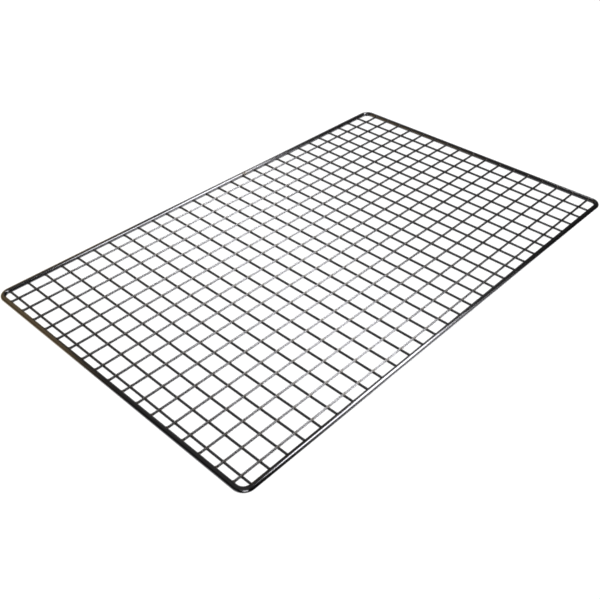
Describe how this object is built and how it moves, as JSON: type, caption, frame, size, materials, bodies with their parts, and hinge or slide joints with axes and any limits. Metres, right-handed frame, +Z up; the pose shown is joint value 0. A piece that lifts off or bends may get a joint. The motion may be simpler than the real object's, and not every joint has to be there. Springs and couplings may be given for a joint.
{
  "type": "cooling rack",
  "caption": "Flat rectangular cooling rack: a square grid of round wires in two crossed layers, inside a thicker round rod bent into a rectangle with rounded corners.",
  "frame": {"origin": "middle of the rack's outline, on the surface that it lies on", "axes": "+X along the long side, +Y along the short side towards the wide-margin long edge, +Z up through the grid"},
  "size_m": [0.734, 0.4536, 0.0063],
  "materials": {
    "frame_rod": "bright plated rod with fine drawing marks",
    "cross_wire": "bright plated drawn wire, duller at the welds",
    "long_wire": "bright plated drawn wire, duller at the welds"
  },
  "bodies": {
    "root": {"frame_rod": "frame_rod", "cross_wire_01": "cross_wire", "cross_wire_02": "cross_wire", "cross_wire_03": "cross_wire", "cross_wire_04": "cross_wire", "cross_wire_05": "cross_wire", "cross_wire_06": "cross_wire", "cross_wire_07": "cross_wire", "cross_wire_08": "cross_wire", "cross_wire_09": "cross_wire", "cross_wire_10": "cross_wire", "cross_wire_11": "cross_wire", "cross_wire_12": "cross_wire", "cross_wire_13": "cross_wire", "cross_wire_14": "cross_wire", "cross_wire_15": "cross_wire", "cross_wire_16": "cross_wire", "cross_wire_17": "cross_wire", "cross_wire_18": "cross_wire", "cross_wire_19": "cross_wire", "cross_wire_20": "cross_wire", "cross_wire_21": "cross_wire", "cross_wire_22": "cross_wire", "cross_wire_23": "cross_wire", "cross_wire_24": "cross_wire", "cross_wire_25": "cross_wire", "cross_wire_26": "cross_wire", "cross_wire_27": "cross_wire", "cross_wire_28": "cross_wire", "long_wire_01": "long_wire", "long_wire_02": "long_wire", "long_wire_03": "long_wire", "long_wire_04": "long_wire", "long_wire_05": "long_wire", "long_wire_06": "long_wire", "long_wire_07": "long_wire", "long_wire_08": "long_wire", "long_wire_09": "long_wire", "long_wire_10": "long_wire", "long_wire_11": "long_wire", "long_wire_12": "long_wire", "long_wire_13": "long_wire", "long_wire_14": "long_wire", "long_wire_15": "long_wire", "long_wire_16": "long_wire", "long_wire_17": "long_wire"}
  },
  "joints": []
}
